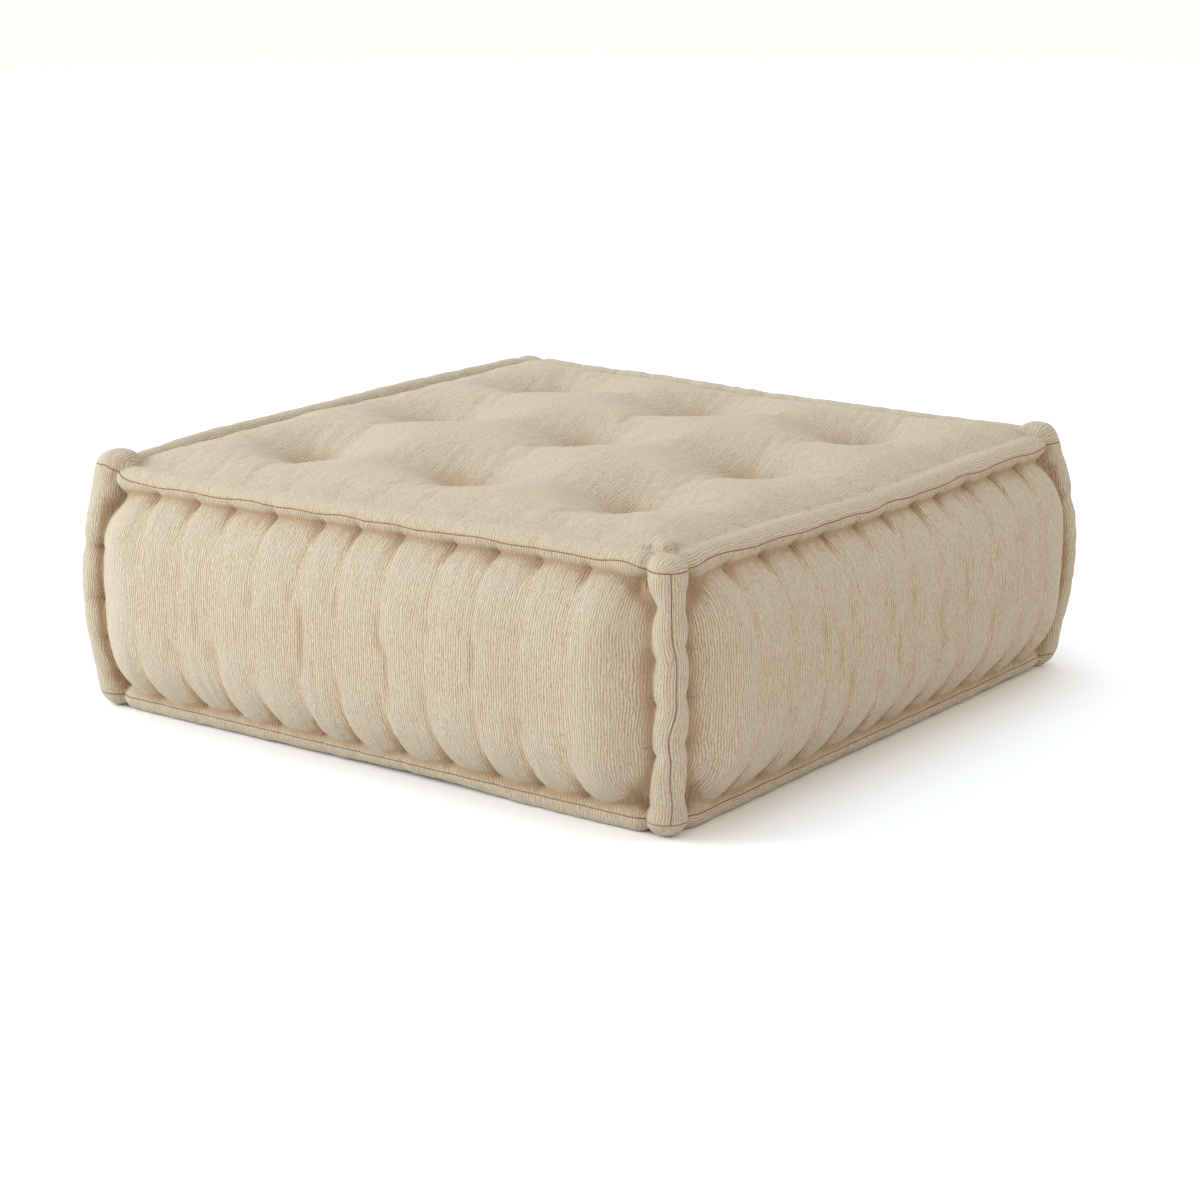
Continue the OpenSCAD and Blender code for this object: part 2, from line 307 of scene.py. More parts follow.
def side_height(name, u, z):
    """How far a side panel's body stands out of its edge plane."""
    corner = lay(name, np.sign(u), np.ones_like(u), z)
    du = HALF - np.abs(u) + bow(z, ear(corner[..., 0], corner[..., 1], "bow"))
    up = TOP - z
    # between its stitches the panel sags onto the base roll
    sag = 0.007 * table(sharp[("base", name)], u) * smooth((du - 0.03) / 0.05)
    e = rounded(du, np.minimum(up, z + sag), GROOVE - 0.003, 0.070)
    inside = np.maximum(e, 0)
    # distances from the top, base and corner rolls; the nearest roll's lobes count most
    dt, db = np.maximum(up - GROOVE, 0), np.maximum(z - GROOVE, 0)
    de = np.maximum(du - GROOVE, 0)
    near = np.stack([np.exp(-dt / 0.03), np.exp(-db / 0.03), np.exp(-de / 0.02)])
    lobe_t, lobe_b = table(sharp[("top", name)], u), table(sharp[("base", name)], u)
    lobe_e = 1 - 0.5 * (1 - end_lobe(name, u, z))
    lobe = (near * np.stack([lobe_t, lobe_b, lobe_e])).sum(0) / near.sum(0)
    valley = 1 - lobe
    # the pillow: from the foot, behind the roll, out to the full bulge
    rise = 1 - (1 - np.clip(e / 0.102, 0, 1)) ** 2.9
    foot = 0.0035 + 0.0035 * valley - 0.0030 * lobe_b * near[1] / near.sum(0)
    body = -foot + np.where(e > 0, (BULGE + foot) * rise, 0.5 * e)
    body -= 0.0100 * valley * np.exp(-inside / 0.013)
    t = np.clip(z / TOP, 0, 1)
    body += 0.0035 * np.sin(math.pi * t) * np.sin(math.pi * (t - 0.08))
    # shallow hollows and folds that run in from the stitches
    fade = smooth(de / 0.05)
    wide_t = 1 - table(broad[("top", name)], u)
    wide_b = 1 - table(broad[("base", name)], u)
    body -= fade * (0.0015 * bell(dt, 0.070, 1.4) + 0.0004) * wide_t
    body -= fade * (0.0016 * bell(db, 0.060, 1.4) + 0.0004) * wide_b
    gather = np.exp(-dt / 0.050) * wide_t + np.exp(-db / 0.045) * wide_b
    folds = 0.0008 * pleats[name](u, z) * (gather + 0.05)
    folds += 0.0003 * creases[name](u, z) * (gather + 0.08)
    folds += fade * darts[name](u, z)
    return body + folds * smooth(inside / 0.010)


TUFTS = [(TUFT * i, TUFT * j) for i in (-1, 0, 1) for j in (-1, 0, 1)]
edge_darts = {name: dart_folds([(stitch_at[("top", name)], 0.0, 1)], 0.040, 0.0004)
              for name in EDGES}
rays = ray_folds(13, 0.060, 0.0002)
tuft_turn = rng.random((len(TUFTS), 3)) * 2 * math.pi
tuft_gain = 1 + jitter(len(TUFTS), 0.07)


def tuft_dip(x, y, depth, reach):
    """Depth of the dimples at each point."""
    out = np.zeros_like(x)
    for (tx, ty), turn, gain in zip(TUFTS, tuft_turn, tuft_gain):
        dx, dy = x - tx, y - ty
        r = np.hypot(dx, dy)
        a = np.arctan2(dy, dx)
        wide = 1 + 0.14 * np.cos(2 * a + turn[0]) + 0.1 * np.cos(3 * a + turn[1])
        wide += 0.025 * np.cos(7 * a + turn[2]) + 0.010 * np.cos(13 * a + turn[0])
        core = bell(r, reach * 0.40 * wide, 1.22)
        skirt = bell(r, reach * 0.95)
        out = np.maximum(out, gain * depth * (0.74 * core + 0.26 * skirt))
    return out


def top_height(x, y):
    """How far the top panel's body stands over the tops of the rolls."""
    # the sewn line lies closer to the edge at the front and right than at the back and left
    near = np.minimum(HALF + y, HALF - x)
    far = np.minimum(HALF - y, HALF + x)
    share = smooth(far / np.maximum(far + near, 1e-6))
    inset = 0.0335 - 0.0135 * share
    start = 0.0125 - 0.0060 * share
    e = rounded(HALF - np.abs(x), HALF - np.abs(y), inset, 0.030 - 0.010 * share)
    inner = np.clip(e / 0.070, 0, 1)
    body = -start + (start + 0.006) * (1 - (1 - inner) ** 2.4)
    body += CROWN * (1 - (1 - np.clip(e / 0.41, 0, 1)) ** 2)
    body = np.where(e > 0, body, -start + 0.4 * e)
    for name in EDGES:
        u, out = side_frame(name, x, y)
        d = np.maximum(HALF - out - inset, 0)
        fade = smooth((HALF - np.abs(u)) / 0.06)
        body += fade * edge_darts[name](u + 0.35 * d, d)
        valley = 1 - table(sharp[("top", name)], u)
        wide = 1 - table(broad[("top", name)], u)
        body -= fade * (0.0034 - 0.0030 * share) * valley * np.exp(-d / 0.010)
        body -= fade * 0.0018 * wide * bell(d, 0.045, 1.5)
    # shallow valleys along the rows of tufts
    quilt = np.zeros_like(x)
    for a, b in ((x, y), (y, x)):
        for k in (-1, 0, 1):
            line = bell(a - k * TUFT, 0.035)
            reach = smooth((TUFT + 0.07 - np.abs(b)) / 0.07)
            quilt = np.maximum(quilt, line * reach)
    body -= 0.0042 * quilt
    dip = tuft_dip(x, y, TOP + CROWN - (DIP_Z + 0.006), 0.098)
    deep = np.clip(dip / 0.03, 0, 1)
    gather = 0.2 + 4.4 * deep * (1 - deep)
    folds = 0.0002 * pleats["top"](x + 0.25 * y, y) * gather + rays(x, y)
    return body - dip + folds * smooth(e / 0.012)


def base_height(x, y):
    """How far the base panel's body stands below the edge plane at the floor."""
    e = rounded(HALF - np.abs(x), HALF - np.abs(y), GROOVE, 0.03)
    rise = 0.0110 * (1 - (1 - np.clip(e / 0.05, 0, 1)) ** 2.4)
    body = -0.0105 + np.where(e > 0, rise, 0.35 * e)
    for name in EDGES:
        u, out = side_frame(name, x, y)
        d = np.maximum(HALF - out - GROOVE, 0)
        valley = 1 - table(sharp[("base", name)], u)
        body -= valley * 0.007 * np.exp(-d / 0.014)
    return body - tuft_dip(x, y, 0.012, 0.07)


def roll_radius(lobe, cos_crest, swing, draw):
    """A roll keeps its size at its crest and is drawn in beside it at the stitches."""
    w = smooth((1 - cos_crest) / 1.25)
    return ROLL * (1 + w * (swing * lobe - draw) + (1 - w) * (0.05 * lobe - 0.045))


def shape(x, y, z):
    """Signed distance to the cushion: negative inside, built from its body and its rolls."""
    soft = 0.0009       # the width over which two surfaces blend
    lumps = 0.0010 * lump(x, y, z)
    body = z - TOP - top_height(x, y)
    body = np.maximum(body, -z - base_height(x, y))
    for name in EDGES:
        u, out = side_frame(name, x, y)
        body = np.maximum(body, out - HALF - side_height(name, u, z))
    parts = [body - lumps]
    end = HALF - 0.054  # the edge rolls end inside the ears
    waver = 0.0014 * sway(x, y, z)
    fine = 0.00025 * ripple(x * 1.7, y * 1.7, z * 1.7)
    for name in EDGES:
        u, out = side_frame(name, x, y)
        over = np.maximum(np.abs(u) - end, 0)
        for level in ("top", "base"):
            side = 1 if level == "top" else -1
            a = out - (HALF - ROLL)
            b = side * (z - (TOP - ROLL if level == "top" else ROLL)) - waver
            # the cloth lies flat over the top rolls that face the photo's view
            pressed = level == "top" and name in ("front", "right")
            if pressed:
                b = np.where(b > 0, 1.28 * b, b)
            dist = np.sqrt(a * a + b * b + over * over)
            flat = np.maximum(np.hypot(a, b), 1e-6)
            crest = (a + b) / (math.sqrt(2) * flat)
            lobe = table(sharp[(level, name)], u)
            if pressed:
                upper = smooth(0.5 + (b - a) / flat)
                lobe = lobe + 0.75 * upper * (1 - lobe)
            r = roll_radius(lobe, crest, 0.36, 0.27)
            parts.append(dist - r - fine)
    for sx, sy in CORNERS:
        its = EARS[(sx, sy)]
        swell = corner_swell(z, its.taper)
        axis = corner_axis(z, swell, EAR_IN - 0.005 * smooth(1 - z / 0.2), its.bow)
        a, b = sx * x - axis, sy * y - axis
        flat = np.maximum(np.hypot(a, b), 1e-6)
        crest = (a + b) / (math.sqrt(2) * flat)
        toward_y = smooth(0.5 + (b - a) / flat)
        lobe = (table(sharp[((sx, sy), "y")], z) * toward_y
                + table(sharp[((sx, sy), "x")], z) * (1 - toward_y))
        r = roll_radius(lobe, crest, 0.40, 0.29) * (1 - swell)
        r = r + np.where(z > TOP / 2, its.radius, FOOT_R) * swell
        # the ear's filling puffs out under the seam and is drawn in again at its neck
        beside = smooth((1 - crest) / 1.25)
        r = r + 0.0038 * beside * bell(TOP - 0.040 - z, 0.013)
        r = r - 0.0022 * bell(TOP - 0.016 - its.taper - z, 0.012)
        top_z, low_z = TOP - 0.019 + its.lift, FOOT_R - 0.001
        c = np.maximum(1.12 * (z - top_z), 0)
        capped = (flat ** 2.7 + c ** 2.7) ** (1 / 2.7)
        foot = np.hypot(flat, np.minimum(z - low_z, 0))
        parts.append(np.where(z > TOP / 2, capped, foot) - r - fine)
    stack = np.stack(parts)
    low = stack.min(0)
    blend = low - soft * np.log(np.exp(-(stack - low) / soft).sum(0))
    return np.maximum(blend, FLOOR_GAP - z)


def settle(p):
    """The cushion isn't quite square: its top leans a little where it has been sat on."""
    x, y, z = p[..., 0], p[..., 1], p[..., 2]
    t = np.clip(z / TOP, 0, 1) ** 1.5
    front = np.exp(-np.maximum(y + HALF, 0) / 0.22)
    right = np.exp(-np.maximum(HALF - x, 0) / 0.22)
    left = np.exp(-np.maximum(x + HALF, 0) / 0.2)
    back = np.exp(-np.maximum(HALF - y, 0) / 0.2)
    dz = front * (0.0015 + 0.0165 * x) - 0.0045 * right * bell(y, 0.25)
    dz += 0.008 * left * smooth((y + 0.42) / 0.2)
    dz -= 0.005 * back * bell(x - 0.03, 0.2)
    out = p.copy()
    out[..., 2] += dz * t
    return out


# --- grids
ROLL_STEPS = 14         # lines from a seam over a roll, across a panel
UP_STEPS = 8            # lines from a seam over an edge roll, up a side panel
ROLL_LEAN = 62          # degrees past the crest of a roll where its last line lies
CELL = 0.0033           # spacing of the lines between the rolls
CORNER_REACH = 0.12     # how far from an edge plane the ray feet turn toward the ear
FIRST_STEP = 0.015      # where a ray starts in front of its foot


def roll_angles(first, count):
    """Angles of the lines round a roll, with a close line beside the seam."""
    steps = np.linspace(first, -ROLL_LEAN, count)
    return np.radians(np.concatenate([steps[:1], [first - 3.2], steps[1:]]))


ANG_TOP = roll_angles(90, ROLL_STEPS)
ANG_SIDE = np.where(ANG_TOP > 0, ANG_TOP / 2, ANG_TOP)
ANG_UP = roll_angles(0, UP_STEPS)
INNER = 2 * int(round((HALF - GROOVE) / CELL))
inner = np.linspace(-(HALF - GROOVE), HALF - GROOVE, INNER + 1)[1:-1]
z_inner = np.linspace(GROOVE, TOP - GROOVE, 2 * int(round((TOP / 2 - GROOVE) / CELL)) + 1)[1:-1]
Z_LINES = np.concatenate([
    ROLL + ROLL * np.sin(-ANG_UP), z_inner, (TOP - ROLL - ROLL * np.sin(-ANG_UP))[::-1],
])


def long_lines(angles):
    """How far each line along a panel leans out, and the foot where its rays start."""
    axis = HALF - EAR_IN
    foot = np.where(angles >= 0, axis, 0)
    lean = np.where(angles >= 0, angles, 0)
    turned = np.interp(-angles, [0, math.radians(ROLL_LEAN)], [axis, HALF - GROOVE])
    foot = np.where(angles < 0, turned, foot)
    both_leans = np.concatenate([-lean, np.zeros(len(inner)), lean[::-1]])
    both_feet = np.concatenate([-foot, inner, foot[::-1]])
    return both_leans, both_feet


def corner_share(foot):
    """How much a ray's foot belongs to the ear, from 0 to 1."""
    return smooth((np.abs(foot) - (HALF - CORNER_REACH)) / (CORNER_REACH - EAR_IN))


def grow(origin, way):
    """Moves points along their rays to the surface of the shape."""
    t = np.full(len(origin), FIRST_STEP)
    live = np.arange(len(origin))
    for _ in range(34):
        p = origin[live] + way[live] * t[live, None]
        gap = shape(p[:, 0], p[:, 1], p[:, 2])
        t[live] -= 0.85 * gap
        live = live[np.abs(gap) > 1e-5]
        if not len(live):
            break
    return origin + way * t[:, None]


def side_grid(name):
    """Where the rays of a side panel start, and the way they go."""
    lean, foot = long_lines(ANG_SIDE)
    lean, height = np.meshgrid(lean, Z_LINES)
    foot, _ = np.meshgrid(foot, Z_LINES)
    axis = HALF - EAR_IN
    near_top = smooth((height - (TOP - 0.09)) / (0.09 - ROLL))
    place = lay(name, foot, np.full_like(foot, axis), height)
    z = height + seam_lift(place[..., 0], place[..., 1]) * near_top
    corner = corner_share(foot)
    push = bow(z, ear(place[..., 0], place[..., 1], "bow")) * corner
    along = foot + np.sign(foot) * push
    out = axis * corner + (HALF - ROLL) * (1 - corner) + push
    start = lay(name, along, out, z)
    # the corner seams wander a little to each side
    sx, sy = np.sign(start[..., 0]), np.sign(start[..., 1])
    slide = 0.0016 * wander(3 * sx, 3 * sy, 1.3 * z) * np.sin(math.pi * z / TOP) * corner ** 4
    start[..., 0] -= sy * slide
    start[..., 1] += sx * slide
    return start, lay(name, np.sin(lean), np.cos(lean), np.zeros_like(z))


def flat_grid(up):
    """Where the rays of the top or base panel start, and the way they go."""
    lean, foot = long_lines(ANG_TOP)
    lean_x, lean_y = np.meshgrid(lean, lean)
    foot_x, foot_y = np.meshgrid(foot, foot)
    axis, edge = HALF - EAR_IN, HALF - GROOVE

    def slid(foot, beside):
        """A foot at its roll slides from the roll's axis to the ear's, near a corner."""
        size = np.abs(foot)
        line = axis * beside + (HALF - ROLL) * (1 - beside)
        share = np.clip((size - edge) / (GROOVE - EAR_IN), 0, 1)
        return np.where(size > edge, edge + share * (line - edge), size), share

    near_x, near_y = corner_share(foot_x), corner_share(foot_y)
    size_x, share_x = slid(foot_x, near_y)
    size_y, share_y = slid(foot_y, near_x)
    lift_x = seam_lift(np.sign(foot_x) * axis, foot_y) * share_x
    lift_y = seam_lift(foot_x, np.sign(foot_y) * axis) * share_y
    lift = np.where(share_y >= share_x, lift_y, lift_x)
    z = (TOP - ROLL + lift) if up else np.full_like(foot_x, ROLL)
    push = bow(z, ear(foot_x, foot_y, "bow")) * near_x * near_y
    x = np.sign(foot_x) * (size_x + push)
    y = np.sign(foot_y) * (size_y + push)
    wx, wy = np.tan(lean_x / 2), np.tan(lean_y / 2)
    wz = 0.5 * (1 - wx * wx) * (1 - wy * wy) * (1 if up else -1)
    return np.stack([x, y, z], -1), unit(np.stack([wx, wy, wz], -1))


def build_grids():
    """The points of all six panels; the points of a seam belong to both its panels."""
    starts = {name: side_grid(name) for name in EDGES}
    starts["top"], starts["base"] = flat_grid(True), flat_grid(False)
    grids = {}
    for name, (origin, way) in starts.items():
        points = grow(origin.reshape(-1, 3), way.reshape(-1, 3))
        grids[name] = settle(points.reshape(origin.shape))
    every, first, last = slice(None), 0, -1
    flat_edge = {"front": (first, every), "back": (last, every),
                 "right": (every, last), "left": (every, first)}
    seams = []
    for name in EDGES:
        seams.append((name, (last, every), "top", flat_edge[name]))
        seams.append((name, (first, every), "base", flat_edge[name]))
    for a, end_a, b, end_b in (("front", last, "right", first), ("right", last, "back", last),
                               ("back", first, "left", last), ("left", first, "front", first)):
        seams.append((a, (every, end_a), b, (every, end_b)))
    for a, line_a, b, line_b in seams:
        mid = 0.5 * (grids[a][line_a] + grids[b][line_b])
        grids[a][line_a] = mid
        grids[b][line_b] = mid
    return grids


grids = build_grids()


# --- meshes
FLIPPED = ("back", "left", "base")      # panels whose grids run the other way round
SEAM_IN = 0.0015        # how deep the seam lies between two panels


def normals(name, g):
    """Unit normals of a panel, pointing out of the cushion."""
    a = np.gradient(g, axis=1)
    b = np.gradient(g, axis=0)
    n = unit(np.cross(a, b))
    return -n if name in FLIPPED else n


def rings(g):
    """How many lines each point of a grid lies in from its border."""
    rows, cols = g.shape[:2]
    j = np.minimum(np.arange(rows), np.arange(rows)[::-1])[:, None]
    i = np.minimum(np.arange(cols), np.arange(cols)[::-1])[None, :]
    return np.minimum(i, j)


def sink_seams(grids):
    """Draws the seams in between their two panels."""
    inward = {}
    for name, g in grids.items():
        n = normals(name, g)
        rim = rings(g) == 0
        for key, normal in zip(map(tuple, np.round(g[rim], 6)), n[rim]):
            inward[key] = inward.get(key, 0) + normal
    for name, g in grids.items():
        rim = rings(g) == 0
        pts = g[rim]
        move = np.array([inward[tuple(k)] for k in np.round(pts, 6)])
        pts = pts - SEAM_IN * unit(move)
        pts[:, 2] = np.maximum(pts[:, 2], FLOOR_GAP)
        g[rim] = pts


def pin_weights(name, g):
    """1 where the cover is held: on the rolls, at the top stitches and at the tufts."""
    x, y, z = g[..., 0], g[..., 1], g[..., 2]
    if name == "top":
        depth = np.minimum(HALF - np.abs(x), HALF - np.abs(y)) - GROOVE
        held = np.max([bell(np.hypot(x - tx, y - ty), 0.012) for tx, ty in TUFTS], 0)
        lobe = np.minimum(table(sharp[("top", "front")], x), table(sharp[("top", "right")], y))
    else:
        u, _ = side_frame(name, x, y)
        depth = np.minimum(np.minimum(z, TOP - z), HALF - np.abs(u)) - GROOVE
        held = np.zeros_like(x)
        lobe = np.minimum(table(sharp[("top", name)], u), 1)
    held = np.maximum(held, (1 - lobe) * np.exp(-np.maximum(depth, 0) / 0.008))
    return np.where(depth < 0.002, 1.0, held)


def spread(field):
    """A coarse field over a grid twice as fine, smoothed."""
    for axis in (0, 1):
        field = np.moveaxis(field, axis, 0)
        n = 2 * len(field) - 1
        out = np.zeros((n,) + field.shape[1:])
        out[::2] = field
        out[1::2] = 0.5 * (field[:-1] + field[1:])
        out[1:-1] = 0.25 * out[:-2] + 0.5 * out[1:-1] + 0.25 * out[2:]
        field = np.moveaxis(out, 0, axis)
    return field


def blurred(field, cells):
    """A field averaged over a number of cells each way, three times."""
    for _ in range(3):
        for axis in (0, 1):
            pad = [(0, 0)] * field.ndim
            pad[axis] = (cells + 1, cells)
            total = np.cumsum(np.pad(field, pad, mode="edge"), axis=axis)
            n = field.shape[axis]
            high = np.take(total, np.arange(2 * cells + 1, 2 * cells + 1 + n), axis=axis)
            low = np.take(total, np.arange(0, n), axis=axis)
            field = (high - low) / (2 * cells + 1)
    return field


PRESS_FRAMES = 20       # frames of simulation for each panel


def press(name, g, cap, slack):
    """Blender's cloth blows a slightly loose panel up against its stitches.

    The slow part of the movement is left out, so the panel keeps its own outline and gains
    the folds that the loose cloth makes.
    """
    coarse = g[::2, ::2]
    weights = np.round(pin_weights(name, coarse), 1).reshape(-1)
    flat = np.zeros(coarse.shape[:2] + (2,))
    obj = grid_mesh("press_", name, coarse, flat, {})
    group = obj.vertex_groups.new(name="held")
    for level in np.unique(weights):
        if level > 0:
            group.add(np.flatnonzero(weights == level).tolist(), float(level), "REPLACE")
    mod = obj.modifiers.new("cloth", "CLOTH")
    for key, value in (("quality", 4), ("mass", 0.15), ("tension_stiffness", 12),
                       ("compression_stiffness", 12), ("shear_stiffness", 4),
                       ("bending_stiffness", 0.3), ("shrink_min", -slack),
                       ("use_pressure", True), ("uniform_pressure_force", 4),
                       ("vertex_group_mass", "held"), ("pin_stiffness", 1.0)):
        setattr(mod.settings, key, value)
    mod.settings.effector_weights.gravity = 0
    mod.collision_settings.use_collision = False
    mod.point_cache.frame_start, mod.point_cache.frame_end = 1, PRESS_FRAMES
    for frame_number in range(1, PRESS_FRAMES + 1):
        scene.frame_set(frame_number)
    done = obj.evaluated_get(bpy.context.evaluated_depsgraph_get()).to_mesh()
    moved = np.zeros(coarse.size, np.float32)
    done.vertices.foreach_get("co", moved)
    bpy.data.objects.remove(obj, do_unlink=True)
    scene.frame_set(1)
    move = moved.reshape(coarse.shape).astype(float) - coarse
    move = move - blurred(move, 5)
    size = np.linalg.norm(move, axis=-1, keepdims=True)
    move *= cap / np.maximum(size, cap)
    move *= (1 - weights.reshape(size.shape)) ** 0.5
    return g + spread(move)


def hollows(g, n):
    """How far each point lies in a fold: below 0 on a crown and up to 1 in a crease."""
    out = np.zeros(g.shape[:2])
    for reach, full in ((4, 0.0012), (9, 0.0028)):
        rim = ((reach, reach), (reach, reach), (0, 0))
        wide = np.pad(g, rim, mode="reflect", reflect_type="odd")
        mean = (wide[2 * reach:, reach:-reach] + wide[:-2 * reach, reach:-reach]
                + wide[reach:-reach, 2 * reach:] + wide[reach:-reach, :-2 * reach]) / 4
        depth = ((mean - g) * n).sum(-1)
        out += np.clip(depth / full, -0.6, 1)
    out = np.clip(0.5 * out, -0.5, 1)
    return np.sign(out) * np.maximum(np.abs(out) - 0.09, 0) * 1.15


def quads_between(index, flip):
    """The quads between the points of a grid, from their numbers."""
    quads = np.stack([index[:-1, :-1], index[:-1, 1:], index[1:, 1:], index[1:, :-1]], -1)
    quads = quads.reshape(-1, 4)
    return quads[:, ::-1] if flip else quads


def linked(name, mesh):
    """A new object in the scene."""
    obj = bpy.data.objects.new(name, mesh)
    scene.collection.objects.link(obj)
    return obj


def grid_mesh(kind, name, g, uv, marks):
    """A quad mesh over a grid of points, with a UV map in metres and its marks as attributes."""
    rows, cols = g.shape[:2]
    quads = quads_between(np.arange(rows * cols).reshape(rows, cols), name in FLIPPED)
    corners = quads.reshape(-1)
    mesh = bpy.data.meshes.new(kind + name)
    mesh.vertices.add(rows * cols)
    mesh.vertices.foreach_set("co", g.reshape(-1).astype(np.float32))
    mesh.loops.add(quads.size)
    mesh.loops.foreach_set("vertex_index", corners.astype(np.int32))
    mesh.polygons.add(len(quads))
    mesh.polygons.foreach_set("loop_start", np.arange(0, quads.size, 4, dtype=np.int32))
    mesh.update(calc_edges=True)
    mesh.polygons.foreach_set("use_smooth", np.ones(len(quads), bool))
    layer = mesh.uv_layers.new(name="UVMap")
    layer.data.foreach_set("uv", uv.reshape(-1, 2)[corners].reshape(-1).astype(np.float32))
    for mark, values in marks.items():
        attr = mesh.attributes.new(mark, "FLOAT", "POINT")
        attr.data.foreach_set("value", values.reshape(-1).astype(np.float32))
    return linked(kind + name, mesh)


def cloth_uv(g):
    """Metres across the ribs and along them, from the usual spacing of the lines."""
    across = np.linalg.norm(np.diff(g, axis=1), axis=-1)
    along = np.linalg.norm(np.diff(g, axis=0), axis=-1)
    u = np.concatenate([[0], np.cumsum(np.median(across, axis=0))])
    v = np.concatenate([[0], np.cumsum(np.median(along, axis=1))])
    return np.stack(np.meshgrid(u, v), -1)


# --- materials
class Graph:
    """Short calls for a material's node tree."""

    def __init__(self, name):
        self.mat = bpy.data.materials.new(name)
        self.mat.use_nodes = True
        self.tree = self.mat.node_tree
        self.bsdf = self.tree.nodes["Principled BSDF"]

    def link(self, a, b):
        self.tree.links.new(a, b)

    def new(self, kind, *inputs, **settings):
        """A new node; each input is a pair of its key and a socket or a plain value."""
        node = self.tree.nodes.new("ShaderNode" + kind)
        for key, value in settings.items():
            setattr(node, key, value)
        for key, value in inputs:
            if isinstance(value, bpy.types.NodeSocket):
                self.link(value, node.inputs[key])
            elif value is not None:
                node.inputs[key].default_value = value
        return node

    def math(self, op, *values):
        return self.new("Math", *enumerate(values), operation=op).outputs[0]

    def mul(self, a, b):
        return self.math("MULTIPLY", a, b)

    def add(self, a, b):
        return self.math("ADD", a, b)

    def sub(self, a, b):
        return self.math("SUBTRACT", a, b)

    def wave(self, angle):
        """A sine wave between 0 and 1."""
        return self.math("MULTIPLY_ADD", self.math("SINE", angle), 0.5, 0.5)

    def attribute(self, name):
        return self.new("Attribute", attribute_name=name).outputs["Fac"]

    def apart(self, vector):
        """The three parts of a vector."""
        return self.new("SeparateXYZ", (0, vector)).outputs

    def uv(self):
        return self.apart(self.new("UVMap", uv_map="UVMap").outputs[0])[:2]

    def place(self, *parts):
        """A vector of three parts."""
        return self.new("CombineXYZ", *enumerate(parts)).outputs[0]

    def noise(self, where, scale=1.0, detail=2.0, rough=0.5):
        return self.new("TexNoise", ("Vector", where), ("Scale", scale),
                        ("Detail", detail), ("Roughness", rough)).outputs["Fac"]

    def span(self, value, lo, hi, to_lo=0.0, to_hi=1.0):
        """A value from one range moved to another, and held within it."""
        return self.new("MapRange", ("Value", value), ("From Min", lo), ("From Max", hi),
                        ("To Min", to_lo), ("To Max", to_hi)).outputs[0]

    def mix(self, share, a, b):
        """From one colour to another; each is a socket or three numbers."""
        a, b = ((*c, 1) if isinstance(c, tuple) else c for c in (a, b))
        return self.new("Mix", ("Factor", share), (6, a), (7, b), data_type="RGBA").outputs[2]

    def bump(self, height, distance, strength=1.0, under=None):
        return self.new("Bump", ("Distance", distance), ("Strength", strength),
                        ("Height", height), ("Normal", under)).outputs[0]

    def surface(self, colour, normal, plain):
        """The finished material: its colour, its normal and the shader's plain numbers."""
        self.link(colour, self.bsdf.inputs["Base Color"])
        for key, value in plain.items():
            self.bsdf.inputs[key].default_value = value
        self.link(normal, self.bsdf.inputs["Normal"])
        return self.mat


RIB_PERIOD = 0.0034     # spacing of the crinkled ribs, metres
RIB_SWAY = 1.6          # how many ribs they sway to the side


